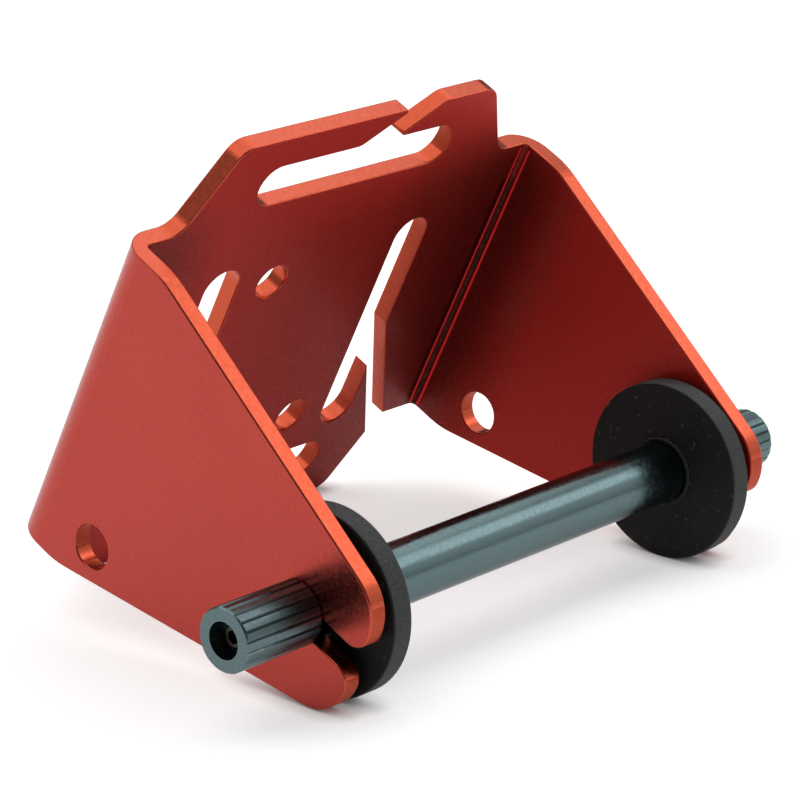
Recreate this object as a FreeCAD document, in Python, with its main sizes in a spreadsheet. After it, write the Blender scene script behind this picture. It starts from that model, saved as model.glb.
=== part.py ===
import FreeCAD, Part
import os
import Sketcher

# Tippet holder: a bent sheet bracket that carries a shaft for a row of small line spools.
# Every body is drawn in the bracket's own frame: X along the shaft, Y from the shaft's axis
# back to the plate, Z up in the plane of the plate. The whole assembly is then leant back so
# that it stands on the plate's lower edge and on the two rubber discs.

doc = FreeCAD.newDocument("tippet_holder")

# Driving dimensions in millimetres and degrees
SIZES = [
    ("bracket_width", 90.0, "over both cheeks"),
    ("sheet", 3.0, "sheet thickness"),
    ("inner_bend", 1.0, "inside radius of the two bends"),
    ("outer_bend", 5.2, "outside radius of the bends, where the sheet thins"),
    ("axis_to_back", 52.8, "shaft axis to the rear face of the plate"),
    ("half_height", 27.25, "half height of the plate and of the cheeks' rear ends"),
    ("shoulder_setback", 9.7, "rear face to where a cheek starts to narrow"),
    ("shoulder_radius", 15.0, "rounding of that shoulder"),
    ("nose_reach", 12.1, "shaft axis to the tip of the cheeks"),
    ("nose_half", 10.5, "half height of a cheek at its tip, before rounding"),
    ("nose_radius", 7.4, "outer rounding of the tip"),
    ("fork_width", 4.2, "open slot in each cheek for the stud"),
    ("fork_mouth_radius", 2.8, "rounding of the slot's mouth"),
    ("cheek_hole", 7.0, "diameter of the hole in each cheek"),
    ("cheek_hole_back", 37.5, "behind the shaft axis"),
    ("cheek_hole_inset", 7.65, "from the level of the plate's lower edge"),
    ("tab_reach", 41.0, "shaft axis level to the edge of either tab"),
    ("tab_slope", 29.2, "lean of the tabs' sides"),
    ("upper_tab_inset", 9.8, "outer face of a cheek in to the root of the upper tab"),
    ("lower_tab_inset", 11.0, "outer face of a cheek in to the root of the lower tab"),
    ("tab_corner", 3.6, "rounding of the tabs' outer corners"),
    ("notch_radius", 4.0, "rounding where the upper tab meets the plate"),
    ("strap_slot_half", 21.1, "half length of the two strap slots"),
    ("strap_slot_height", 7.2, "height of the strap slots"),
    ("strap_slot_level", 32.2, "middle of a strap slot from the axis level"),
    ("strap_slit_width", 3.75, "way in from the tab's edge"),
    ("strap_slit_slope", 28.5, "rise of that way in"),
    ("strap_slit_place", 12.6, "where it crosses the tab's edge"),
    ("belt_slot_inset", 24.0, "outer face of a cheek in to the middle of a belt slot"),
    ("belt_slot_width", 7.2, "width of the belt slots"),
    ("belt_slot_rise", 17.0, "upper end above the axis level"),
    ("belt_slot_drop", 25.0, "lower end below the axis level"),
    ("belt_slit_width", 3.75, "way in from the plate's lower edge"),
    ("belt_slit_slope", 24.6, "lean of that way in"),
    ("belt_slit_clearance", 0.7, "its outer wall from the root of the lower tab"),
    ("slit_corner", 3.0, "rounding of the slits' blunt corners"),
    ("slit_tip", 0.45, "rounding of the slits' sharp tips"),
    ("plate_hole", 6.2, "diameter of the two round holes in the plate"),
    ("upper_hole_inset", 11.5, "left belt slot in to the upper hole"),
    ("upper_hole_rise", 12.0, "upper hole above the axis level"),
    ("lower_hole_inset", 11.7, "right belt slot in to the lower hole"),
    ("lower_hole_drop", 20.2, "lower hole below the axis level"),
    ("sheet_edge", 0.25, "rounding of the bracket's sheet edges"),
    ("shaft_diameter", 9.5, "spool shaft"),
    ("end_gap", 0.1, "shaft end or knob to the cheek beside it"),
    ("shaft_chamfer", 0.5, "on the shaft's ends"),
    ("tapped_depth", 11.0, "threaded hole in each end of the shaft"),
    ("stud_diameter", 4.0, "stud through each cheek"),
    ("stud_length", 25.0, "length of a stud"),
    ("stud_chamfer", 0.5, "on the stud's ends"),
    ("thread_gap", 0.05, "radial play between stud and the threads it fits"),
    ("hex_socket", 2.0, "across the flats of the stud's key socket"),
    ("hex_depth", 2.0, "depth of that socket"),
    ("knob_diameter", 9.65, "fluted thumb knob"),
    ("knob_length", 14.75, "length of a knob"),
    ("knob_chamfer", 0.25, "on the knob's ends"),
    ("knob_mouth", 5.6, "diameter of the bore's wide outer stretch"),
    ("knob_mouth_depth", 3.5, "depth of that stretch"),
    ("stud_recess", 1.9, "stud's end inside the knob's outer face"),
    ("flute_count", 20, "flutes round a knob"),
    ("flute_width", 0.55, "width of a flute"),
    ("flute_depth", 0.3, "depth of a flute"),
    ("disc_diameter", 28.35, "rubber disc"),
    ("disc_thickness", 3.7, "thickness of a disc"),
    ("disc_rounding", 0.4, "on a disc's rims"),
    ("disc_play", 0.05, "radial play of a disc on the shaft"),
    ("left_disc_gap", 1.5, "left disc to the cheek beside it"),
    ("right_disc_gap", 1.0, "right disc to the cheek beside it"),
]

table = doc.addObject("Spreadsheet::Sheet", "Sizes")
for row, (alias, size, meaning) in enumerate(SIZES, start=1):
    table.set(f"A{row}", meaning)
    table.set(f"B{row}", str(size))
    table.setAlias(f"B{row}", alias)
doc.recompute()

# Lengths that follow from the driving ones, as expressions
ON_AXIS = "0 * Sizes.sheet"
CHEEK_OUTSIDE = "Sizes.bracket_width / 2"
CHEEK_INSIDE = f"({CHEEK_OUTSIDE} - Sizes.sheet)"
PLATE_FRONT = "(Sizes.axis_to_back - Sizes.sheet)"
SHOULDER = "(Sizes.axis_to_back - Sizes.shoulder_setback)"
PAST = "(Sizes.nose_reach + Sizes.sheet)"
EDGE_FALL = f"((Sizes.half_height - Sizes.nose_half) / ({SHOULDER} + Sizes.nose_reach))"
PAST_HEIGHT = f"(Sizes.nose_half - Sizes.sheet * {EDGE_FALL})"
CHEEK_HOLE_DROP = "(Sizes.half_height - Sizes.cheek_hole_inset)"
FORK_HALF = "Sizes.fork_width / 2"
UPPER_TAB_ROOT = f"({CHEEK_OUTSIDE} - Sizes.upper_tab_inset)"
LOWER_TAB_ROOT = f"({CHEEK_OUTSIDE} - Sizes.lower_tab_inset)"
TAB_NARROWING = "((Sizes.tab_reach - Sizes.half_height) * tan(Sizes.tab_slope))"
BELT_SLOT_PLACE = f"({CHEEK_OUTSIDE} - Sizes.belt_slot_inset)"
BELT_SIDE = f"({BELT_SLOT_PLACE} + Sizes.belt_slot_width / 2)"
BELT_SLIT_RUN = f"({LOWER_TAB_ROOT} + Sizes.belt_slit_clearance - {BELT_SIDE})"
BELT_SLIT_TOP = f"({BELT_SLIT_RUN} / tan(Sizes.belt_slit_slope) - Sizes.half_height)"
BELT_SLIT_TIP = f"({BELT_SLIT_TOP} - Sizes.belt_slit_width / sin(Sizes.belt_slit_slope))"
SHAFT_END = f"({CHEEK_INSIDE} - Sizes.end_gap)"
KNOB_START = f"({CHEEK_OUTSIDE} + Sizes.end_gap)"
KNOB_END = f"({KNOB_START} + Sizes.knob_length)"
STUD_END = f"({KNOB_END} - Sizes.stud_recess)"
STUD_START = f"({STUD_END} - Sizes.stud_length)"
THREAD_RADIUS = "(Sizes.stud_diameter / 2 + Sizes.thread_gap)"
DISC_RADIUS = "Sizes.disc_diameter / 2"
FOOT_BACK = f"({PLATE_FRONT} + Sizes.sheet_edge)"
FOOT_DROP = "(Sizes.tab_reach - Sizes.sheet_edge)"
FOOT_REST = f"({DISC_RADIUS} - Sizes.sheet_edge)"
LEAN = (
    f"(atan2({FOOT_DROP}; {FOOT_BACK}) - asin({FOOT_REST} / hypot({FOOT_BACK}; {FOOT_DROP})))"
)
HEEL_BACK = "(Sizes.axis_to_back - Sizes.sheet_edge)"
REARMOST = f"({HEEL_BACK} * cos({LEAN}) + {FOOT_DROP} * sin({LEAN}) + Sizes.sheet_edge)"
MIDDLE = f"(({REARMOST} - {DISC_RADIUS}) / 2)"

LEFT = -1
RIGHT = 1
BOTH = (LEFT, RIGHT)
ON_SPOT = 0.02
RIGHT_ANGLE = 90


def number(text):
    """The value of an expression, in millimetres or degrees."""
    result = table.evalExpression(text)
    return float(getattr(result, "Value", result))


def origin_part(body, role):
    """An origin plane or axis of a body, found by its role."""
    for feature in body.Origin.OriginFeatures:
        if feature.Role == role:
            return feature
    raise ValueError(role)


# Sketches whose points are bound to the sheet

def sketch_on(body, role, name):
    """An empty sketch on one of the body's origin planes."""
    sketch = body.newObject("Sketcher::SketchObject", name)
    sketch.AttachmentSupport = [(origin_part(body, role), "")]
    sketch.MapMode = "FlatFace"
    return sketch


def bind(sketch, constraint, text):
    """Adds a dimension to a sketch and binds it to an expression."""
    index = sketch.addConstraint(constraint)
    sketch.setExpression(f"Constraints[{index}]", text)


def place_point(sketch, item, end, across, up):
    """Holds one point of a sketch at two expressions."""
    bind(sketch, Sketcher.Constraint("DistanceX", -1, 1, item, end, number(across)), across)
    bind(sketch, Sketcher.Constraint("DistanceY", -1, 1, item, end, number(up)), up)


def draw_outline(sketch, points):
    """A closed outline of straight lines through bound points."""
    spots = [FreeCAD.Vector(number(across), number(up), 0) for across, up in points]
    first = sketch.GeometryCount
    count = len(spots)
    for step in range(count):
        sketch.addGeometry(Part.LineSegment(spots[step], spots[(step + 1) % count]))
    for step in range(count):
        following = first + (step + 1) % count
        sketch.addConstraint(Sketcher.Constraint("Coincident", first + step, 2, following, 1))
    for step, (across, up) in enumerate(points):
        place_point(sketch, first + step, 1, across, up)


def draw_circle(sketch, across, up, diameter):
    """A circle with a bound centre and diameter."""
    centre = FreeCAD.Vector(number(across), number(up), 0)
    circle = Part.Circle(centre, FreeCAD.Vector(0, 0, 1), number(diameter) / 2)
    item = sketch.addGeometry(circle)
    place_point(sketch, item, 3, across, up)
    bind(sketch, Sketcher.Constraint("Diameter", item, number(diameter)), diameter)


def draw_round_slot(sketch, start, end, width):
    """A slot with round ends; start and end are its extreme points."""
    radius = f"({width}) / 2"
    lying = start[1] == end[1]
    if lying:
        centres = [(f"{start[0]} + {radius}", start[1]), (f"{end[0]} - {radius}", end[1])]
    else:
        centres = [(start[0], f"{start[1]} + {radius}"), (end[0], f"{end[1]} - {radius}")]
    turn = 90 if lying else 180
    normal = FreeCAD.Vector(0, 0, 1)
    first = sketch.GeometryCount
    for step, (across, up) in enumerate(centres):
        circle = Part.Circle(FreeCAD.Vector(number(across), number(up), 0), normal, number(radius))
        low = FreeCAD.Units.Quantity(turn + 180 * step, "deg").getValueAs("rad").Value
        high = FreeCAD.Units.Quantity(turn + 180 * step + 180, "deg").getValueAs("rad").Value
        sketch.addGeometry(Part.ArcOfCircle(circle, low, high))
    arcs = [sketch.Geometry[first], sketch.Geometry[first + 1]]
    sketch.addGeometry(Part.LineSegment(arcs[0].EndPoint, arcs[1].StartPoint))
    sketch.addGeometry(Part.LineSegment(arcs[1].EndPoint, arcs[0].StartPoint))
    for arc, line, far_arc in ((first, first + 2, first + 1), (first + 1, first + 3, first)):
        sketch.addConstraint(Sketcher.Constraint("Tangent", arc, 2, line, 1))
        sketch.addConstraint(Sketcher.Constraint("Tangent", line, 2, far_arc, 1))
    place_point(sketch, first, 3, *centres[0])
    if lying:
        moving = Sketcher.Constraint("DistanceX", -1, 1, first + 1, 3, number(centres[1][0]))
        bind(sketch, moving, centres[1][0])
        sketch.addConstraint(Sketcher.Constraint("Horizontal", first + 2))
    else:
        moving = Sketcher.Constraint("DistanceY", -1, 1, first + 1, 3, number(centres[1][1]))
        bind(sketch, moving, centres[1][1])
        sketch.addConstraint(Sketcher.Constraint("Vertical", first + 2))
    bind(sketch, Sketcher.Constraint("Radius", first, number(radius)), radius)


# Features

def cut_through(body, sketch, name, both_ways=False):
    """A pocket through everything, checked to take material away."""
    before = body.Shape.Volume
    pocket = body.newObject("PartDesign::Pocket", name)
    pocket.Profile = sketch
    pocket.Type = "ThroughAll"
    pocket.SideType = "Symmetric" if both_ways else "One side"
    doc.recompute()
    if body.Shape.Volume >= before:
        raise RuntimeError(name + " cuts nothing")
    return pocket


def round_edges(body, axis, spots, radius, name):
    """Rounds the straight edges that run along axis past the given spots."""
    base = body.Tip
    across = [other for other in ("x", "y", "z") if other != axis]
    chosen = []
    for index, edge in enumerate(base.Shape.Edges, start=1):
        if edge.Curve.TypeId != "Part::GeomLine":
            continue
        if abs(getattr(edge.tangentAt(edge.FirstParameter), axis)) < 1 - ON_SPOT:
            continue
        middle = edge.CenterOfMass
        for spot in spots:
            distances = [abs(getattr(middle, other) - place) for other, place in zip(across, spot)]
            if max(distances) < ON_SPOT:
                chosen.append(f"Edge{index}")
    if len(chosen) < len(spots):
        raise RuntimeError(f"{name}: found {len(chosen)} edges")
    add_fillet(body, chosen, radius, name)


def add_fillet(body, chosen, radius, name):
    """Rounds the named edges of the body's latest shape."""
    base = body.Tip
    fillet = body.newObject("PartDesign::Fillet", name)
    fillet.Base = (base, chosen)
    fillet.setExpression("Radius", radius)
    doc.recompute()


def new_body(name):
    """A body that carries the node's name."""
    body = doc.addObject("PartDesign::Body", name)
    body.Label = name
    return body


def turned_body(name, outline):
    """A body turned about the shaft's axis from points along and out from it."""
    body = new_body(name)
    sketch = sketch_on(body, "XY_Plane", name + "_profile")
    draw_outline(sketch, outline)
    turning = body.newObject("PartDesign::Revolution", name + "_turned")
    turning.Profile = sketch
    turning.ReferenceAxis = (sketch, ["H_Axis"])
    turning.Angle = 360
    doc.recompute()
    return body


def lean_back(body):
    """Stands the body up with the rest of the assembly."""
    body.Placement = FreeCAD.Placement(
        FreeCAD.Vector(), FreeCAD.Rotation(FreeCAD.Vector(1, 0, 0), number(LEAN))
    )
    body.setExpression("Placement.Rotation.Angle", LEAN)
    body.setExpression("Placement.Base.y", f"-{MIDDLE}")
    body.setExpression("Placement.Base.z", DISC_RADIUS)


# Bracket

def bend_channel(body):
    """The plate with its two cheeks, bent from one sheet."""
    sketch = sketch_on(body, "XY_Plane", "channel_profile")
    draw_outline(sketch, [
        (f"-{CHEEK_OUTSIDE}", f"-{PAST}"),
        (f"-{CHEEK_INSIDE}", f"-{PAST}"),
        (f"-{CHEEK_INSIDE}", PLATE_FRONT),
        (CHEEK_INSIDE, PLATE_FRONT),
        (CHEEK_INSIDE, f"-{PAST}"),
        (CHEEK_OUTSIDE, f"-{PAST}"),
        (CHEEK_OUTSIDE, "Sizes.axis_to_back"),
        (f"-{CHEEK_OUTSIDE}", "Sizes.axis_to_back"),
    ])
    channel = body.newObject("PartDesign::Pad", "channel")
    channel.Profile = sketch
    channel.SideType = "Symmetric"
    channel.setExpression("Length", "Sizes.half_height * 2")
    doc.recompute()
    inside = [(side * number(CHEEK_INSIDE), number(PLATE_FRONT)) for side in BOTH]
    round_edges(body, "z", inside, "Sizes.inner_bend", "inside_of_bends")
    outside = [(side * number(CHEEK_OUTSIDE), number("Sizes.axis_to_back")) for side in BOTH]
    round_edges(body, "z", outside, "Sizes.outer_bend", "outside_of_bends")


def add_tabs(body):
    """The tapered tabs above and below the plate."""
    sketch = sketch_on(body, "XZ_Plane", "tab_outlines")
    sketch.setExpression("AttachmentOffset.Base.z", "-Sizes.axis_to_back")
    inner = "(Sizes.half_height - Sizes.sheet)"
    widening = "Sizes.sheet * tan(Sizes.tab_slope)"
    for sign, root in (("", UPPER_TAB_ROOT), ("-", LOWER_TAB_ROOT)):
        draw_outline(sketch, [
            (f"-({root} + {widening})", f"{sign}{inner}"),
            (f"{root} + {widening}", f"{sign}{inner}"),
            (f"{root} - {TAB_NARROWING}", f"{sign}Sizes.tab_reach"),
            (f"-({root} - {TAB_NARROWING})", f"{sign}Sizes.tab_reach"),
        ])
    tabs = body.newObject("PartDesign::Pad", "tabs")
    tabs.Profile = sketch
    tabs.setExpression("Length", "Sizes.sheet")
    doc.recompute()


def shape_cheeks(body):
    """Tapers the cheeks and cuts their open slots and holes."""
    sketch = sketch_on(body, "YZ_Plane", "cheek_cuts")
    clear = "(Sizes.half_height + Sizes.sheet)"
    front = "-(Sizes.nose_reach + Sizes.sheet * 2)"
    for sign in ("", "-"):
        draw_outline(sketch, [
            (SHOULDER, f"{sign}Sizes.half_height"),
            (SHOULDER, f"{sign}{clear}"),
            (front, f"{sign}{clear}"),
            (front, f"{sign}{PAST_HEIGHT}"),
            (f"-{PAST}", f"{sign}{PAST_HEIGHT}"),
        ])
    cut_through(body, sketch, "tapered_edges", both_ways=True)

    nose = sketch_on(body, "YZ_Plane", "nose_cut")
    draw_outline(nose, [
        ("-Sizes.nose_reach", f"-{clear}"),
        ("-Sizes.nose_reach", clear),
        (front, clear),
        (front, f"-{clear}"),
    ])
    cut_through(body, nose, "nose_ends", both_ways=True)

    fork = sketch_on(body, "YZ_Plane", "fork_outline")
    draw_round_slot(fork, (f"-{PAST}", ON_AXIS), (FORK_HALF, ON_AXIS), "Sizes.fork_width")
    cut_through(body, fork, "forks", both_ways=True)

    hole = sketch_on(body, "YZ_Plane", "cheek_hole_outline")
    draw_circle(hole, "Sizes.cheek_hole_back", f"-{CHEEK_HOLE_DROP}", "Sizes.cheek_hole")
    cut_through(body, hole, "cheek_holes", both_ways=True)

    level = number("Sizes.half_height")
    shoulders = [(number(SHOULDER), side * level) for side in BOTH]
    round_edges(body, "x", shoulders, "Sizes.shoulder_radius", "shoulders")
    tip = -number("Sizes.nose_reach")
    corners = [(tip, side * number("Sizes.nose_half")) for side in BOTH]
    round_edges(body, "x", corners, "Sizes.nose_radius", "nose_corners")
    mouths = [(tip, side * number(FORK_HALF)) for side in BOTH]
    round_edges(body, "x", mouths, "Sizes.fork_mouth_radius", "fork_mouths")


def strap_slit(sign):
    """The slanting way into a strap slot from its tab's edge."""
    half = "Sizes.strap_slit_width / sin(Sizes.strap_slit_slope) / 2"
    outer = "(Sizes.tab_reach + Sizes.sheet)"
    run_out = "Sizes.sheet / tan(Sizes.strap_slit_slope)"
    run_in = "(Sizes.tab_reach - Sizes.strap_slot_level) / tan(Sizes.strap_slit_slope)"
    inner = "Sizes.strap_slot_level"
    return [
        (f"Sizes.strap_slit_place + {run_out} - {half}", f"{sign}{outer}"),
        (f"Sizes.strap_slit_place + {run_out} + {half}", f"{sign}{outer}"),
        (f"Sizes.strap_slit_place - {run_in} + {half}", f"{sign}{inner}"),
        (f"Sizes.strap_slit_place - {run_in} - {half}", f"{sign}{inner}"),
    ]


def belt_slit(sign):
    """The slanting way into a belt slot from the plate's lower edge."""
    rise = "Sizes.belt_slot_width / 2 / tan(Sizes.belt_slit_slope)"
    drop = "(Sizes.tab_reach - Sizes.sheet)"
    run_top = f"({drop} + {BELT_SLIT_TOP}) * tan(Sizes.belt_slit_slope)"
    run_tip = f"({drop} + {BELT_SLIT_TIP}) * tan(Sizes.belt_slit_slope)"
    return [
        (f"{sign}{BELT_SLOT_PLACE}", f"{BELT_SLIT_TOP} + {rise}"),
        (f"{sign}({BELT_SIDE} + {run_top})", f"-{drop}"),
        (f"{sign}({BELT_SIDE} + {run_tip})", f"-{drop}"),
        (f"{sign}{BELT_SLOT_PLACE}", f"{BELT_SLIT_TIP} + {rise}"),
    ]


def cut_plate(body):
    """Cuts the plate's slots, their ways in and its two round holes."""
    slots = sketch_on(body, "XZ_Plane", "slot_outlines")
    for sign in ("", "-"):
        level = f"{sign}Sizes.strap_slot_level"
        draw_round_slot(slots, ("-Sizes.strap_slot_half", level),
                        ("Sizes.strap_slot_half", level), "Sizes.strap_slot_height")
        place = f"{sign}{BELT_SLOT_PLACE}"
        draw_round_slot(slots, (place, "-Sizes.belt_slot_drop"),
                        (place, "Sizes.belt_slot_rise"), "Sizes.belt_slot_width")
    upper_side = f"-({BELT_SLOT_PLACE} - Sizes.upper_hole_inset)"
    lower_side = f"{BELT_SLOT_PLACE} - Sizes.lower_hole_inset"
    draw_circle(slots, upper_side, "Sizes.upper_hole_rise", "Sizes.plate_hole")
    draw_circle(slots, lower_side, "-Sizes.lower_hole_drop", "Sizes.plate_hole")
    cut_through(body, slots, "slots_and_holes")

    slits = sketch_on(body, "XZ_Plane", "slit_outlines")
    for sign in ("", "-"):
        draw_outline(slits, strap_slit(sign))
        draw_outline(slits, belt_slit(sign))
    cut_through(body, slits, "slits")


def slit_ends(body):
    """The edges where the slits' walls end, blunt corners first and sharp tips second."""
    walls = []
    for slit in (strap_slit, belt_slit):
        for sign in ("", "-"):
            spots = [FreeCAD.Vector(number(across), 0, number(up)) for across, up in slit(sign)]
            walls += [(spots[1], spots[2]), (spots[3], spots[0])]
    shape = body.Tip.Shape
    blunt, sharp = [], []
    for index, edge in enumerate(shape.Edges, start=1):
        if edge.Curve.TypeId != "Part::GeomLine":
            continue
        if abs(edge.tangentAt(edge.FirstParameter).y) < 1 - ON_SPOT:
            continue
        middle = edge.CenterOfMass
        spot = FreeCAD.Vector(middle.x, 0, middle.z)
        if min(spot.distanceToLineSegment(*wall).Length for wall in walls) > ON_SPOT:
            continue
        faces = shape.ancestorsOfType(edge, Part.Face)
        normals = [face.normalAt(*face.Surface.parameter(middle)) for face in faces]
        turn = FreeCAD.Units.Quantity(normals[0].getAngle(normals[1]), "rad")
        found = blunt if turn.getValueAs("deg").Value < RIGHT_ANGLE else sharp
        found.append(f"Edge{index}")
    return blunt, sharp


def round_plate_corners(body):
    """Rounds the corners of the tabs and of the slits in the plane of the plate."""
    reach = number("Sizes.tab_reach")
    upper_half = number(f"{UPPER_TAB_ROOT} - {TAB_NARROWING}")
    lower_half = number(f"{LOWER_TAB_ROOT} - {TAB_NARROWING}")
    tab_corners = [(side * upper_half, reach) for side in BOTH]
    tab_corners += [(side * lower_half, -reach) for side in BOTH]
    round_edges(body, "y", tab_corners, "Sizes.tab_corner", "tab_corners")

    notches = [(side * number(UPPER_TAB_ROOT), number("Sizes.half_height")) for side in BOTH]
    round_edges(body, "y", notches, "Sizes.notch_radius", "notches")

    blunt = slit_ends(body)[0]
    add_fillet(body, blunt, "Sizes.slit_corner", "blunt_slit_corners")
    sharp = slit_ends(body)[1]
    add_fillet(body, sharp, "Sizes.slit_tip", "slit_tips")


def is_skin(face):
    """Whether a face lies on the sheet's inner or outer skin, its bends included."""
    surface = face.Surface
    upright = FreeCAD.Vector(0, 0, 1)
    if surface.TypeId == "Part::GeomCylinder":
        return abs(surface.Axis.dot(upright)) > 1 - ON_SPOT
    middle = face.CenterOfMass
    skins = [
        (abs(middle.x), number(CHEEK_OUTSIDE)),
        (abs(middle.x), number(CHEEK_INSIDE)),
        (middle.y, number("Sizes.axis_to_back")),
        (middle.y, number(PLATE_FRONT)),
    ]
    for place, skin in skins:
        if abs(place - skin) < ON_SPOT:
            return True
    return False


def soften_edges(body):
    """Rounds every sharp edge of the sheet a little, as blasting leaves it."""
    shape = body.Tip.Shape
    chosen = []
    for index, edge in enumerate(shape.Edges, start=1):
        faces = shape.ancestorsOfType(edge, Part.Face)
        if len({is_skin(face) for face in faces}) == 2:
            chosen.append(f"Edge{index}")
    add_fillet(body, chosen, "Sizes.sheet_edge", "soft_edges")


def make_bracket():
    """The anodised bracket, all from one sheet."""
    body = new_body("bracket")
    bend_channel(body)
    add_tabs(body)
    shape_cheeks(body)
    cut_plate(body)
    round_plate_corners(body)
    soften_edges(body)
    return body


# Shaft, studs, knobs and discs, all turned about the shaft's axis

def make_shaft():
    """The spool shaft with a threaded hole in each end."""
    radius = "Sizes.shaft_diameter / 2"
    inset = f"({SHAFT_END} - Sizes.shaft_chamfer)"
    hole_floor = f"({SHAFT_END} - Sizes.tapped_depth)"
    half = [
        (hole_floor, ON_AXIS),
        (hole_floor, THREAD_RADIUS),
        (SHAFT_END, THREAD_RADIUS),
        (SHAFT_END, f"{radius} - Sizes.shaft_chamfer"),
        (inset, radius),
    ]
    other_half = [(f"-{along}", out) for along, out in reversed(half)]
    return turned_body("spool_shaft", half + other_half)


def make_stud(side_name, sign):
    """A headless stud with a hexagonal key socket in its outer end."""
    radius = "Sizes.stud_diameter / 2"
    body = turned_body(side_name + "_stud", [
        (f"{sign}{STUD_START}", ON_AXIS),
        (f"{sign}{STUD_START}", f"{radius} - Sizes.stud_chamfer"),
        (f"{sign}({STUD_START} + Sizes.stud_chamfer)", radius),
        (f"{sign}({STUD_END} - Sizes.stud_chamfer)", radius),
        (f"{sign}{STUD_END}", f"{radius} - Sizes.stud_chamfer"),
        (f"{sign}{STUD_END}", ON_AXIS),
    ])
    socket = sketch_on(body, "YZ_Plane", side_name + "_socket_outline")
    socket.setExpression("AttachmentOffset.Base.z", f"{sign}{STUD_END}")
    corner = "Sizes.hex_socket / 2 / cos(30)"
    draw_outline(socket, [
        (f"{corner} * cos({60 * step})", f"{corner} * sin({60 * step})") for step in range(6)
    ])
    before = body.Shape.Volume
    pocket = body.newObject("PartDesign::Pocket", side_name + "_socket")
    pocket.Profile = socket
    pocket.setExpression("Length", "Sizes.hex_depth")
    pocket.Reversed = sign == "-"
    doc.recompute()
    if body.Shape.Volume >= before:
        raise RuntimeError(side_name + " socket cuts nothing")
    return body


def make_knob(side_name, sign):
    """A fluted thumb knob, bored through and opened out at its outer end."""
    radius = "Sizes.knob_diameter / 2"
    mouth_floor = f"({KNOB_END} - Sizes.knob_mouth_depth)"
    body = turned_body(side_name + "_knob", [
        (f"{sign}{KNOB_START}", THREAD_RADIUS),
        (f"{sign}{KNOB_START}", f"{radius} - Sizes.knob_chamfer"),
        (f"{sign}({KNOB_START} + Sizes.knob_chamfer)", radius),
        (f"{sign}({KNOB_END} - Sizes.knob_chamfer)", radius),
        (f"{sign}{KNOB_END}", f"{radius} - Sizes.knob_chamfer"),
        (f"{sign}{KNOB_END}", "Sizes.knob_mouth / 2"),
        (f"{sign}{mouth_floor}", "Sizes.knob_mouth / 2"),
        (f"{sign}{mouth_floor}", THREAD_RADIUS),
    ])
    outline = sketch_on(body, "YZ_Plane", side_name + "_flute_outline")
    bottom = f"({radius} - Sizes.flute_depth)"
    outside = f"({radius} + Sizes.flute_depth)"
    draw_outline(outline, [
        (ON_AXIS, bottom),
        ("Sizes.flute_width", outside),
        ("-Sizes.flute_width", outside),
    ])
    flute = cut_through(body, outline, side_name + "_flute", both_ways=True)
    ring = body.newObject("PartDesign::PolarPattern", side_name + "_flutes")
    ring.Originals = [flute]
    ring.Axis = (outline, ["N_Axis"])
    ring.Angle = 360
    ring.setExpression("Occurrences", "Sizes.flute_count")
    body.Tip = ring
    doc.recompute()
    return body


def make_disc(side_name, sign):
    """A rubber disc that keeps the spools off the cheek."""
    outside = f"({CHEEK_INSIDE} - Sizes.{side_name}_disc_gap)"
    inside = f"({outside} - Sizes.disc_thickness)"
    bore = "Sizes.shaft_diameter / 2 + Sizes.disc_play"
    body = turned_body(side_name + "_disc", [
        (f"{sign}{inside}", bore),
        (f"{sign}{inside}", DISC_RADIUS),
        (f"{sign}{outside}", DISC_RADIUS),
        (f"{sign}{outside}", bore),
    ])
    rims = []
    for index, edge in enumerate(body.Tip.Shape.Edges, start=1):
        if edge.Curve.TypeId == "Part::GeomCircle":
            if abs(edge.Curve.Radius - number(DISC_RADIUS)) < ON_SPOT:
                rims.append(f"Edge{index}")
    add_fillet(body, rims, "Sizes.disc_rounding", side_name + "_disc_rims")
    return body


bodies = [make_bracket(), make_shaft()]
for side_name, sign in (("left", "-"), ("right", "")):
    bodies.append(make_stud(side_name, sign))
    bodies.append(make_knob(side_name, sign))
    bodies.append(make_disc(side_name, sign))
for body in bodies:
    lean_back(body)
doc.recompute()

# Checks, then one file for each piece
for item in doc.Objects:
    if "Invalid" in item.State or "Error" in item.State:
        raise RuntimeError(f"{item.Label} is {item.State}")
os.makedirs("parts", exist_ok=True)
for body in bodies:
    shape = body.Shape
    if shape.isNull() or not shape.isValid() or len(shape.Solids) != 1:
        raise RuntimeError(f"{body.Label} is not one good solid")
    shape.exportStep(f"parts/{body.Label}.step")
    box = shape.BoundBox
    print(f"{body.Label}: {shape.Volume:.1f} mm3, Y {box.YMin:.2f} to {box.YMax:.2f},"
          f" Z {box.ZMin:.2f} to {box.ZMax:.2f}, X {box.XMin:.2f} to {box.XMax:.2f}")
print(f"lean {number(LEAN):.3f} degrees, moved back {number(MIDDLE):.3f}")
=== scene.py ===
import math

import bmesh
import bpy
from mathutils import Matrix, Quaternion, Vector


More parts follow.
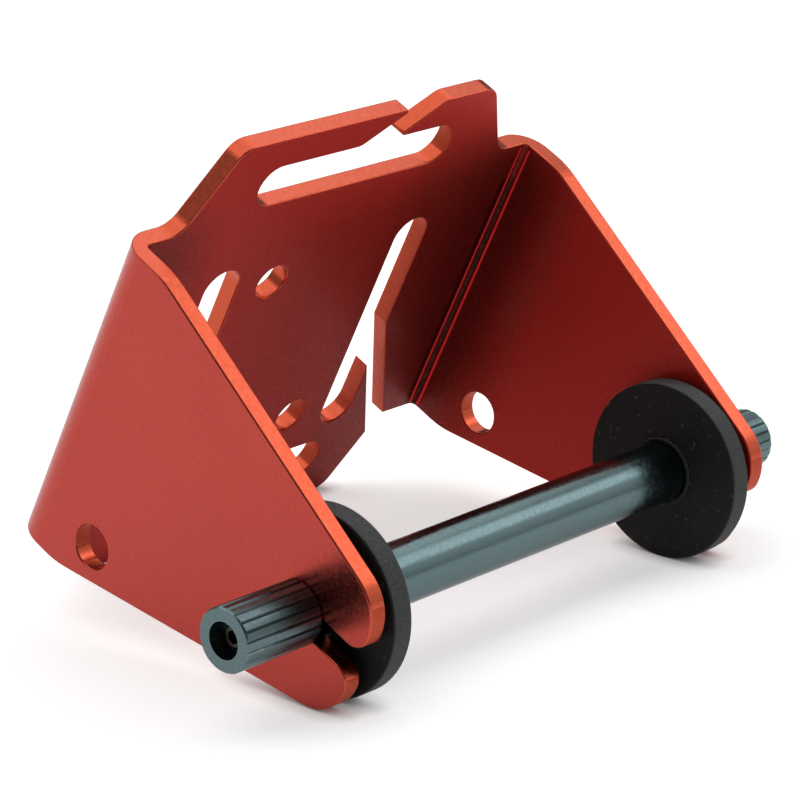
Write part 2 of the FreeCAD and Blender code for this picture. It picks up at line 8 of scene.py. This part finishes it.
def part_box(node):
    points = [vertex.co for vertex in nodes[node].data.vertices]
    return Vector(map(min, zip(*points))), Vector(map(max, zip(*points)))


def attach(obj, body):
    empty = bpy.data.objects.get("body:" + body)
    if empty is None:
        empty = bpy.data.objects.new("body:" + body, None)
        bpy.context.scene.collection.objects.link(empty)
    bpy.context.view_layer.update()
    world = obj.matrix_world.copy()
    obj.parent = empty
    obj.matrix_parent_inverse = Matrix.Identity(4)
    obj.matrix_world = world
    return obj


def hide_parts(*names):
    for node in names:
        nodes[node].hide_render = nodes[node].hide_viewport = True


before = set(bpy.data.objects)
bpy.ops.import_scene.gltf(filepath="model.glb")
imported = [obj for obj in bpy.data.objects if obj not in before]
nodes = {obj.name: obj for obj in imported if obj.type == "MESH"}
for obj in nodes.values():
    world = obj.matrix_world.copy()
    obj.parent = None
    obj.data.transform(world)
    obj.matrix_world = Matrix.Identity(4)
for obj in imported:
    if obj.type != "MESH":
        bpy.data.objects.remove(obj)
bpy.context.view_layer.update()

# Camera, in the part's frame, and the photograph's field of view
CAMERA_PLACE = (-0.375846, -0.344259, 0.191420)
CAMERA_TURN = (0.7377864, 0.5395425, -0.2393059, -0.3275634)
CAMERA_LENS = 157.82
CAMERA_SENSOR = 36.0
CAMERA_CLIP = (0.01, 100.0)

SIDES = (("left", -1.0), ("right", 1.0))

# The bracket's own frame, in metres: the shaft's axis, and the directions across the bracket,
# back to the plate and up along it
AXIS = Vector((0.0, -0.025665, 0.014175))
ACROSS = Vector((1.0, 0.0, 0.0))
TO_PLATE = Vector((0.0, 0.893432, 0.449198))
UP_PLATE = Vector((0.0, -0.449198, 0.893432))

# Where the plate, the cheeks and the bends lie, in metres back from the axis or out from the
# middle, and how squarely a skin faces its direction
PLATE_BACK = 0.0490
CHEEK_OUT = 0.0415
BEND_OUT = 0.0395
BEND_BACK = 0.0470
SQUARE = 0.8
BEND_SLANT = 0.35

# Inner skins of the sheet, the inner bend and the marks pressed along it, in metres
INNER_CHEEK = 0.0420
INNER_PLATE = 0.0498
INNER_BEND = 0.0010
MARK_HALF = 0.0266
PLATE_MARK = 0.00027
CHEEK_MARK = 0.00038
MARK_SIDES = 12

# How far the painted shade of the inner faces reaches, in metres
SEAM_SHADE_REACH = (0.0009, 0.0011)
CORNER_SHADE_REACH = (0.004, 0.016)
CORNER_SHADE_TOP = 0.020
CORNER_SHADE_BLEND = (-0.020, 0.020)
CORNER_SHADE_SCALES = (0.9, 0.42)
MIDDLE_SHADE_LEFT = (-0.022, 0.002)
MIDDLE_SHADE_RIGHT = (0.034, 0.040)
MIDDLE_SHADE_TOP = 0.008

# Moulded lip round each disc's bore, in metres, and its waves: how tall, how many, their start
LIP_REACH = 0.00516
LIP_RADIUS = 0.00028
LIP_STEPS = 120
LIP_SIDES = 8
LIP_WAVE = (0.16, 7)
LIP_RIPPLES = ((0.14, 17, 1.3), (0.10, 31, 0.4))

# Metric threads of the studs, in metres, with the crest and flank as shares of the pitch
STUD_RADIUS = 0.0020
THREAD_PITCH = 0.0007
THREAD_DEPTH = 0.00040
THREAD_CREST = 0.15
THREAD_FLANK = 0.36
THREAD_SIDES = 48
END_CHAMFER = 0.0005
KEY_HALF = 0.0010
KEY_DEPTH = 0.0020

# Grain of blasted metal, in waves per metre and metres
GRAIN_SCALE = 2600.0
GRAIN_DEPTH = 0.00002

WHITE = (1.0, 1.0, 1.0, 1.0)


# Node helpers

def new_material(name):
    """An empty node material with its output and a Principled shader."""
    material = bpy.data.materials.new(name)
    material.use_nodes = True
    tree = material.node_tree
    tree.nodes.clear()
    output = tree.nodes.new("ShaderNodeOutputMaterial")
    shader = tree.nodes.new("ShaderNodeBsdfPrincipled")
    tree.links.new(shader.outputs["BSDF"], output.inputs["Surface"])
    return material, tree, shader


def coordinate(tree, kind):
    """A texture coordinate, such as a spot in the object's own metres or its normal."""
    return tree.nodes.new("ShaderNodeTexCoord").outputs[kind]


def noise(tree, scale, detail, roughness=0.6):
    """Fractal noise in the object's own metres."""
    texture = tree.nodes.new("ShaderNodeTexNoise")
    texture.inputs["Scale"].default_value = scale
    texture.inputs["Detail"].default_value = detail
    texture.inputs["Roughness"].default_value = roughness
    tree.links.new(coordinate(tree, "Object"), texture.inputs["Vector"])
    return texture.outputs["Fac"]


def spread(tree, value, low, high, to_low=0.0, to_high=1.0):
    """Maps a value from one range to another, clamped."""
    ranged = tree.nodes.new("ShaderNodeMapRange")
    for socket, number in (("From Min", low), ("From Max", high),
                           ("To Min", to_low), ("To Max", to_high)):
        ranged.inputs[socket].default_value = number
    tree.links.new(value, ranged.inputs["Value"])
    return ranged.outputs["Result"]


def mixed(tree, share, first, second):
    """Blends two colours, each a socket or a plain tuple."""
    mix = tree.nodes.new("ShaderNodeMix")
    mix.data_type = "RGBA"
    for socket, colour in ((mix.inputs[6], first), (mix.inputs[7], second)):
        if isinstance(colour, tuple):
            socket.default_value = colour + (1.0,)
        else:
            tree.links.new(colour, socket)
    tree.links.new(share, mix.inputs[0])
    return mix.outputs[2]


def arithmetic(tree, operation, *values):
    """A math node on sockets or plain numbers."""
    node = tree.nodes.new("ShaderNodeMath")
    node.operation = operation
    for place, value in enumerate(values):
        if isinstance(value, (int, float)):
            node.inputs[place].default_value = value
        else:
            tree.links.new(value, node.inputs[place])
    return node.outputs[0]


def along(tree, vector, direction):
    """The share of a vector socket along a fixed direction or another socket."""
    node = tree.nodes.new("ShaderNodeVectorMath")
    node.operation = "DOT_PRODUCT"
    tree.links.new(vector, node.inputs[0])
    if isinstance(direction, Vector):
        node.inputs[1].default_value = direction
    else:
        tree.links.new(direction, node.inputs[1])
    return node.outputs["Value"]


def bumped(tree, height, depth, strength, under=None):
    """A bump of the given depth in metres, over another one if there is one."""
    bump = tree.nodes.new("ShaderNodeBump")
    bump.inputs["Strength"].default_value = strength
    bump.inputs["Distance"].default_value = depth
    tree.links.new(height, bump.inputs["Height"])
    if under is not None:
        tree.links.new(under, bump.inputs["Normal"])
    return bump.outputs["Normal"]


def edge_share(tree, radius, low, high):
    """How far a spot lies on a sharp edge, from the turn of a rounded normal."""
    bevel = tree.nodes.new("ShaderNodeBevel")
    bevel.samples = 6
    bevel.inputs["Radius"].default_value = radius
    surface = tree.nodes.new("ShaderNodeNewGeometry")
    turn = along(tree, bevel.outputs["Normal"], surface.outputs["Normal"])
    return spread(tree, turn, high, low)


# Finishes

def cut_faces(tree):
    """1 on the faces where the bracket's sheet was cut, 0 on its two skins and its bends."""
    place, normal = coordinate(tree, "Object"), coordinate(tree, "Normal")
    back = arithmetic(tree, "SUBTRACT", along(tree, place, TO_PLATE), AXIS.dot(TO_PLATE))
    side = arithmetic(tree, "ABSOLUTE", along(tree, place, ACROSS))
    sideways, backward, upward = [
        arithmetic(tree, "ABSOLUTE", along(tree, normal, direction))
        for direction in (ACROSS, TO_PLATE, UP_PLATE)]

    def both(first, second):
        return arithmetic(tree, "MULTIPLY", first, second)

    def over(value, limit):
        return arithmetic(tree, "GREATER_THAN", value, limit)

    plate = both(over(backward, SQUARE), over(back, PLATE_BACK))
    cheek = both(over(sideways, SQUARE), over(side, CHEEK_OUT))
    bend = both(arithmetic(tree, "LESS_THAN", upward, BEND_SLANT), over(side, BEND_OUT))
    bend = both(bend, over(back, BEND_BACK))
    skin = arithmetic(tree, "MAXIMUM", plate, arithmetic(tree, "MAXIMUM", cheek, bend))
    return arithmetic(tree, "SUBTRACT", 1.0, skin)


def inner_faces(tree):
    """1 on the faces that look into the bracket, 0 on those that look out of it."""
    place, normal = coordinate(tree, "Object"), coordinate(tree, "Normal")
    side = arithmetic(tree, "SIGN", along(tree, place, ACROSS))
    outward = arithmetic(tree, "MULTIPLY", side, along(tree, normal, ACROSS))
    outward = arithmetic(tree, "ADD", outward, along(tree, normal, TO_PLATE))
    return arithmetic(tree, "LESS_THAN", outward, -SQUARE)


def corner_distance(tree, across, above):
    """How far a spot lies from the corner of the plate and a cheek, slower along the plate."""
    back = arithmetic(tree, "SUBTRACT", along(tree, coordinate(tree, "Object"), TO_PLATE),
                      AXIS.dot(TO_PLATE) + INNER_PLATE)
    side = arithmetic(tree, "SUBTRACT", arithmetic(tree, "ABSOLUTE", across), INNER_CHEEK)
    scale = spread(tree, across, *CORNER_SHADE_BLEND, *CORNER_SHADE_SCALES)
    side = arithmetic(tree, "MULTIPLY", side, scale)
    squares = [arithmetic(tree, "MULTIPLY", reach, reach) for reach in (back, side, above)]
    total = arithmetic(tree, "ADD", arithmetic(tree, "ADD", squares[0], squares[1]), squares[2])
    return arithmetic(tree, "SQRT", total)


def inner_tone_with_painted_shade(tree, tones):
    """The colour inside the bracket: its dye, painted deeper for light bounced inside, and
    painted shade in the plate's middle, near a corner and, near black, in its seam.
    """
    plain, middle, corner_shade, seam_shade = tones
    place = coordinate(tree, "Object")
    across = along(tree, place, ACROSS)
    above = arithmetic(tree, "SUBTRACT", along(tree, place, UP_PLATE),
                       AXIS.dot(UP_PLATE) + CORNER_SHADE_TOP)
    above = arithmetic(tree, "MAXIMUM", above, 0.0)
    away = corner_distance(tree, across, above)
    # Painted shade: the plate's middle is darker up to the corners' top, fading out over the next
    # few millimetres above it
    share = arithmetic(tree, "MULTIPLY", spread(tree, across, *MIDDLE_SHADE_LEFT),
                       spread(tree, across, *MIDDLE_SHADE_RIGHT, 1.0, 0.0))
    share = arithmetic(tree, "MULTIPLY", share, spread(tree, above, 0.0, MIDDLE_SHADE_TOP, 1.0, 0.0))
    tone = mixed(tree, share, plain, middle)
    # Painted shade: darker near each corner of the plate and a cheek, near black in the seam of
    # the bend
    tone = mixed(tree, spread(tree, away, *CORNER_SHADE_REACH, 1.0, 0.0), tone, corner_shade)
    return mixed(tree, spread(tree, away, *SEAM_SHADE_REACH, 1.0, 0.0), tone, seam_shade)


def blasted_metal(name, colours, rough, grain_strength, glaze, inner=None, cut=None):
    """Bead-blasted anodised aluminium: fine grain, faint clouds, paler edges, a clear oxide.

    The colours are plain, dark and pale. The bracket also has those of its inner faces, whose
    dye is painted deeper for light bounced inside and carries painted shade, and of the faces
    where the sheet was cut; its inner faces are duller, too.
    """
    material, tree, shader = new_material(name)
    plain, dark, pale = colours
    clouds = noise(tree, 45.0, 3.0)
    grain = noise(tree, GRAIN_SCALE, 3.0, 0.65)
    flecks = noise(tree, 1500.0, 2.0, 0.5)
    base = mixed(tree, spread(tree, clouds, 0.35, 0.65, 0.0, 0.35), plain, dark)
    uneven = spread(tree, flecks, 0.3, 0.7, rough - 0.05, rough + 0.07)
    if inner is not None:
        inside = inner_faces(tree)
        # Painted light and shade: the inner faces take a dye made deeper for bounced light, with
        # painted shade in the middle, corners and seams
        base = mixed(tree, inside, base, inner_tone_with_painted_shade(tree, inner))
        base = mixed(tree, cut_faces(tree), base, cut)
        uneven = arithmetic(tree, "ADD", uneven, arithmetic(tree, "MULTIPLY", inside, 0.38))
    base = mixed(tree, spread(tree, grain, 0.40, 0.75, 0.0, 0.35), base, pale)
    base = mixed(tree, edge_share(tree, 0.00025, 0.75, 0.99), base, pale)
    tree.links.new(base, shader.inputs["Base Color"])
    tree.links.new(uneven, shader.inputs["Roughness"])
    shader.inputs["Metallic"].default_value = 1.0
    shader.inputs["Coat Weight"].default_value = glaze
    shader.inputs["Coat Roughness"].default_value = rough
    shader.inputs["Coat IOR"].default_value = 1.6
    under = bumped(tree, clouds, 0.00005, 0.15)
    surface = bumped(tree, grain, GRAIN_DEPTH, grain_strength, under)
    tree.links.new(surface, shader.inputs["Normal"])
    return material


def plain_metal(name, colour, rough):
    """Metal of one colour with a slightly uneven polish, for fine details."""
    material, tree, shader = new_material(name)
    grain = noise(tree, GRAIN_SCALE, 3.0, 0.65)
    darker = tuple(0.6 * share for share in colour)
    base = mixed(tree, spread(tree, grain, 0.35, 0.7, 0.0, 0.3), colour, darker)
    uneven = spread(tree, grain, 0.3, 0.7, rough - 0.05, rough + 0.05)
    tree.links.new(base, shader.inputs["Base Color"])
    tree.links.new(uneven, shader.inputs["Roughness"])
    shader.inputs["Metallic"].default_value = 1.0
    return material


def black_rubber():
    """Matt moulded rubber: near-black faces with a little dust, and a duller, greyer rim."""
    material, tree, shader = new_material("rubber_black")
    clouds = noise(tree, 160.0, 4.0)
    grain = noise(tree, 3200.0, 3.0)
    dust = noise(tree, 900.0, 1.0, 0.4)
    facing = arithmetic(tree, "ABSOLUTE", along(tree, coordinate(tree, "Normal"), ACROSS))
    face = mixed(tree, spread(tree, clouds, 0.35, 0.7),
                 (0.0028, 0.0030, 0.0031), (0.0072, 0.0077, 0.0080))
    rim = mixed(tree, spread(tree, grain, 0.35, 0.7),
                (0.038, 0.040, 0.040), (0.105, 0.110, 0.110))
    base = mixed(tree, spread(tree, facing, 0.45, 0.85), rim, face)
    base = mixed(tree, spread(tree, dust, 0.70, 0.76, 0.0, 0.45), base, (0.13, 0.13, 0.125))
    # Painted highlight: a lighter grey line along the disc's sharp edges
    base = mixed(tree, edge_share(tree, 0.0003, 0.75, 0.99), base, (0.085, 0.088, 0.088))
    tree.links.new(base, shader.inputs["Base Color"])
    tree.links.new(spread(tree, grain, 0.3, 0.7, 0.58, 0.78), shader.inputs["Roughness"])
    shader.inputs["Specular IOR Level"].default_value = 0.36
    under = bumped(tree, clouds, 0.0001, 0.2)
    tree.links.new(bumped(tree, grain, 0.00006, 0.35, under), shader.inputs["Normal"])
    return material


def black_steel():
    """Oiled black steel with worn brassy edges."""
    material, tree, shader = new_material("steel_blackened")
    clouds = noise(tree, 700.0, 3.0)
    base = mixed(tree, spread(tree, clouds, 0.35, 0.7),
                 (0.050, 0.046, 0.036), (0.095, 0.086, 0.062))
    base = mixed(tree, edge_share(tree, 0.00015, 0.55, 0.98), base, (0.34, 0.31, 0.24))
    tree.links.new(base, shader.inputs["Base Color"])
    tree.links.new(spread(tree, clouds, 0.3, 0.7, 0.26, 0.44), shader.inputs["Roughness"])
    tree.links.new(bumped(tree, clouds, 0.00002, 0.4), shader.inputs["Normal"])
    shader.inputs["Metallic"].default_value = 1.0
    return material


def dress(node, material):
    """Gives a node of the frame its finish."""
    mesh = nodes[node].data
    mesh.materials.clear()
    mesh.materials.append(material)


# Mesh helpers

def bridge(work, here, after):
    """Joins two rings of as many vertices with a band of faces."""
    count = len(here)
    for step in range(count):
        following = (step + 1) % count
        work.faces.new((here[step], here[following], after[following], after[step]))


def smooth_mesh(name, work, material, sharp_degrees=None):
    """Turns a bmesh into a smooth mesh, sharp at the edges that turn by more than an angle."""
    bmesh.ops.recalc_face_normals(work, faces=work.faces)
    mesh = bpy.data.meshes.new(name)
    work.to_mesh(mesh)
    work.free()
    mesh.materials.append(material)
    for polygon in mesh.polygons:
        polygon.use_smooth = True
    if sharp_degrees is not None:
        mesh.set_sharp_from_angle(angle=math.radians(sharp_degrees))
    return mesh


def add_object(name, data):
    """Adds an object to the scene."""
    piece = bpy.data.objects.new(name, data)
    bpy.context.scene.collection.objects.link(piece)
    return piece


# Studs with real threads

def thread_radius(turn_share):
    """The thread's radius at a share of one pitch."""
    away = abs((turn_share + 0.5) % 1.0 - 0.5) - THREAD_CREST / 2
    if away < 0:
        return STUD_RADIUS
    return STUD_RADIUS - THREAD_DEPTH * min(away / THREAD_FLANK, 1.0)


def stud_grid(work, length):
    """Rows of vertices that wind along the thread, each row a turn's worth of sides."""
    half = THREAD_CREST / 2
    breaks = (-half, half, half + THREAD_FLANK, 1.0 - half - THREAD_FLANK)
    turns = int(length / THREAD_PITCH) + 3
    grid = []
    for turn in range(turns + 1):
        for share in breaks:
            row = []
            for side in range(THREAD_SIDES):
                place = (turn - 1 + share + side / THREAD_SIDES) * THREAD_PITCH
                place = min(max(place, 0.0), length)
                radius = min(thread_radius(share), STUD_RADIUS - END_CHAMFER + place,
                             STUD_RADIUS - END_CHAMFER + (length - place))
                angle = 2 * math.pi * side / THREAD_SIDES
                row.append(work.verts.new(
                    (place, radius * math.cos(angle), radius * math.sin(angle))))
            grid.append(row)
    return grid, len(breaks)


def close_end(work, place, key_half, key_depth):
    """Closes a stud's end at a place along it, with a hexagonal socket if it has one."""
    work.verts.ensure_lookup_table()
    rim = [vertex for vertex in work.verts if abs(vertex.co.x - place) < 1e-8]
    rim.sort(key=lambda vertex: math.atan2(vertex.co.z, vertex.co.y))
    if key_half == 0.0:
        work.faces.new(rim)
        return
    mouth, floor = [], []
    for vertex in rim:
        angle = math.atan2(vertex.co.z, vertex.co.y)
        corner = (angle + math.pi / 6) % (math.pi / 3) - math.pi / 6
        reach = key_half / math.cos(corner)
        spot = (reach * math.cos(angle), reach * math.sin(angle))
        mouth.append(work.verts.new((place, *spot)))
        floor.append(work.verts.new((place - key_depth, *spot)))
    bridge(work, rim, mouth)
    bridge(work, mouth, floor)
    work.faces.new(floor)


def stud_mesh(name, length):
    """A threaded stud from 0 to length along +X, its key socket in the far end."""
    work = bmesh.new()
    grid, lead = stud_grid(work, length)
    for row in range(len(grid) - 1):
        for side in range(THREAD_SIDES - 1):
            work.faces.new((grid[row][side], grid[row][side + 1],
                            grid[row + 1][side + 1], grid[row + 1][side]))
        far = row + lead
        if far + 1 < len(grid):
            work.faces.new((grid[row][-1], grid[far][0], grid[far + 1][0], grid[row + 1][-1]))
    bmesh.ops.remove_doubles(work, verts=work.verts, dist=1e-7)
    bmesh.ops.dissolve_degenerate(work, edges=work.edges, dist=1e-7)
    close_end(work, 0.0, 0.0, 0.0)
    close_end(work, length, KEY_HALF, KEY_DEPTH)
    return smooth_mesh(name, work, STEEL, 30)


def make_stud(side, outward):
    """The threaded stud of one side, in the place of its plain one."""
    node = side + "_stud"
    low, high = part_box(node)
    axis = (low + high) / 2
    start = low.x if outward > 0 else high.x
    stud = add_object(side + "_threaded_stud", stud_mesh(node + "_thread", high.x - low.x))
    turn = Matrix.Identity(4) if outward > 0 else Matrix.Rotation(math.pi, 4, "Z")
    stud.data.transform(Matrix.Translation((start, axis.y, axis.z)) @ turn)
    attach(stud, node)
    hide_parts(node)


# Press marks along the inner bends

def add_mark(work, outward, side_place, back_place, radius):
    """A fine half-sunk bead along one edge of a bend."""
    middle = AXIS + outward * side_place * ACROSS + back_place * TO_PLATE
    rings = []
    for up_place in (-MARK_HALF, MARK_HALF):
        ring = []
        for step in range(MARK_SIDES):
            angle = 2 * math.pi * step / MARK_SIDES
            turned = math.cos(angle) * ACROSS + math.sin(angle) * TO_PLATE
            ring.append(work.verts.new(middle + up_place * UP_PLATE + radius * turned))
        rings.append(ring)
        work.faces.new(ring)
    bridge(work, *rings)


def make_marks():
    """The beads that the press brake left along both inner bends."""
    work = bmesh.new()
    for side, outward in SIDES:
        add_mark(work, outward, INNER_CHEEK, INNER_PLATE - INNER_BEND, CHEEK_MARK)
        add_mark(work, outward, INNER_CHEEK - INNER_BEND, INNER_PLATE, PLATE_MARK)
    marks = add_object("bend_marks", smooth_mesh("bend_marks", work, MARK, 40))
    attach(marks, "bracket")


# Lips round the bores of the discs

def make_lip(side, outward):
    """A ragged moulded lip on the face of a disc that looks at the spool's room."""
    low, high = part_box(side + "_disc")
    face = low.x if outward > 0 else high.x
    axis = (low + high) / 2
    work = bmesh.new()
    rings = []
    for step in range(LIP_STEPS):
        turn = 2 * math.pi * step / LIP_STEPS
        ragged = 1 + sum(height * math.sin(count * turn + start) for height, count, start
                         in ((*LIP_WAVE, outward), *LIP_RIPPLES))
        ring = []
        for corner in range(LIP_SIDES):
            angle = 2 * math.pi * corner / LIP_SIDES
            reach = LIP_REACH + LIP_RADIUS * ragged * math.cos(angle)
            ring.append(work.verts.new((face + LIP_RADIUS * ragged * math.sin(angle),
                                        axis.y + reach * math.cos(turn),
                                        axis.z + reach * math.sin(turn))))
        rings.append(ring)
    for step, ring in enumerate(rings):
        bridge(work, ring, rings[(step + 1) % LIP_STEPS])
    name = side + "_disc_lip"
    lip = add_object(name, smooth_mesh(name, work, RUBBER))
    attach(lip, side + "_disc")


# Studio

def floor_material(colour, lift):
    """White floor that keeps its shadows and reads as white to the eye, to gloss and to glass.

    The lift is the glow near the object. It fades where something stands close to the floor,
    which paints a contact shadow there, and rises to full white far away, where the lamps no
    longer reach.
    """
    material, tree, shader = new_material("studio_floor")
    ray = tree.nodes.new("ShaderNodeLightPath")
    mirrored = arithmetic(tree, "MAXIMUM", ray.outputs["Is Glossy Ray"],
                          ray.outputs["Is Transmission Ray"])
    mirrored = arithmetic(tree, "MULTIPLY", mirrored, 0.6)
    seen = arithmetic(tree, "MAXIMUM", ray.outputs["Is Camera Ray"], mirrored)
    away = tree.nodes.new("ShaderNodeVectorMath")
    away.operation = "LENGTH"
    tree.links.new(coordinate(tree, "Object"), away.inputs[0])
    glow = spread(tree, away.outputs["Value"], 0.35, 1.5, lift, 1.0)
    # Painted contact shadow: the glow dims by ambient occlusion where something stands close to
    # the floor
    painted_contact_shade = tree.nodes.new("ShaderNodeAmbientOcclusion")
    painted_contact_shade.samples = 16
    painted_contact_shade.inputs["Distance"].default_value = 0.0035
    glow = arithmetic(tree, "MULTIPLY", glow, painted_contact_shade.outputs["AO"])
    tree.links.new(arithmetic(tree, "MULTIPLY", seen, glow), shader.inputs["Emission Strength"])
    shader.inputs["Emission Color"].default_value = WHITE
    shader.inputs["Base Color"].default_value = (colour, colour, colour, 1.0)
    shader.inputs["Roughness"].default_value = 0.9
    shader.inputs["Specular IOR Level"].default_value = 0.0
    return material


def make_floor(reach, colour, lift):
    """A wide plane at the height the object stands on."""
    mesh = bpy.data.meshes.new("floor")
    corners = [(-reach, -reach, 0), (reach, -reach, 0), (reach, reach, 0), (-reach, reach, 0)]
    mesh.from_pydata(corners, [], [(0, 1, 2, 3)])
    mesh.materials.append(floor_material(colour, lift))
    add_object("floor", mesh)


def heading(azimuth, elevation):
    """The direction at an azimuth from +X towards +Y and an elevation, in degrees."""
    turn, rise = math.radians(azimuth), math.radians(elevation)
    return Vector((math.cos(rise) * math.cos(turn), math.cos(rise) * math.sin(turn),
                   math.sin(rise)))


def make_world(even, glows):
    """Dim surroundings with soft glows, each a heading, how tight it is and its brightness."""
    world = bpy.data.worlds.new("studio")
    bpy.context.scene.world = world
    world.use_nodes = True
    tree = world.node_tree
    tree.nodes.clear()
    output = tree.nodes.new("ShaderNodeOutputWorld")
    background = tree.nodes.new("ShaderNodeBackground")
    place = coordinate(tree, "Generated")
    strength = even
    for direction, tightness, brightness in glows:
        share = arithmetic(tree, "MAXIMUM", along(tree, place, direction), 0.0)
        share = arithmetic(tree, "POWER", share, tightness)
        glow = arithmetic(tree, "MULTIPLY", share, brightness)
        strength = arithmetic(tree, "ADD", glow, strength)
    tree.links.new(strength, background.inputs["Strength"])
    tree.links.new(background.outputs["Background"], output.inputs["Surface"])


def make_softbox(name, direction, width, height, radiance):
    """A rectangular area lamp of an even brightness, 1.2 m from the object and aimed at it."""
    lamp = bpy.data.lights.new(name, "AREA")
    lamp.shape = "RECTANGLE"
    lamp.size = width
    lamp.size_y = height
    lamp.energy = radiance * math.pi * width * height
    box = add_object(name, lamp)
    box.location = Vector((0.0, 0.0, 0.035)) + 1.2 * direction
    box.rotation_mode = "QUATERNION"
    box.rotation_quaternion = (-direction).to_track_quat("-Z", "Y")


def make_camera():
    """The camera at the photograph's place."""
    data = bpy.data.cameras.new("camera")
    data.sensor_width = CAMERA_SENSOR
    data.lens = CAMERA_LENS
    data.clip_start, data.clip_end = CAMERA_CLIP
    camera = add_object("camera", data)
    camera.location = CAMERA_PLACE
    camera.rotation_mode = "QUATERNION"
    camera.rotation_quaternion = Quaternion(CAMERA_TURN)
    bpy.context.scene.camera = camera


RED = blasted_metal(
    "anodised_red", ((0.49, 0.058, 0.046), (0.44, 0.048, 0.038), (0.64, 0.100, 0.050)),
    rough=0.25, grain_strength=0.34, glaze=0.12,
    # Inner faces: dye painted deeper for bounced light, then painted shade in the plate's middle,
    # near a corner and in the seam
    inner=((0.54, 0.036, 0.030), (0.41, 0.024, 0.020), (0.21, 0.020, 0.018),
           (0.03, 0.004, 0.004)),
    cut=(0.60, 0.092, 0.040))
MARK = plain_metal("red_mark", (0.70, 0.035, 0.035), rough=0.38)
SLATE = blasted_metal(
    "anodised_slate", ((0.126, 0.190, 0.200), (0.098, 0.150, 0.159), (0.178, 0.248, 0.258)),
    rough=0.20, grain_strength=0.20, glaze=0.0)
SLATE_TURNED = blasted_metal(
    "anodised_slate_turned", ((0.130, 0.192, 0.200), (0.098, 0.150, 0.159), (0.20, 0.27, 0.28)),
    rough=0.31, grain_strength=0.20, glaze=0.0)
RUBBER = black_rubber()
STEEL = black_steel()

dress("bracket", RED)
dress("spool_shaft", SLATE)
for side, outward in SIDES:
    dress(side + "_knob", SLATE_TURNED)
    dress(side + "_disc", RUBBER)
    make_stud(side, outward)
make_marks()
for side, outward in SIDES:
    make_lip(side, outward)

make_floor(reach=40.0, colour=0.88, lift=0.55)
make_world(0.05, ((heading(140, 10), 2.0, 0.42), (heading(330, 27), 5.0, 1.15)))
make_softbox("overhead", heading(84, 68), width=2.50, height=1.50, radiance=1.20)
make_softbox("right_front", heading(333, 38), width=0.50, height=0.46, radiance=1.25)
make_camera()

bpy.context.scene.view_settings.view_transform = "Standard"
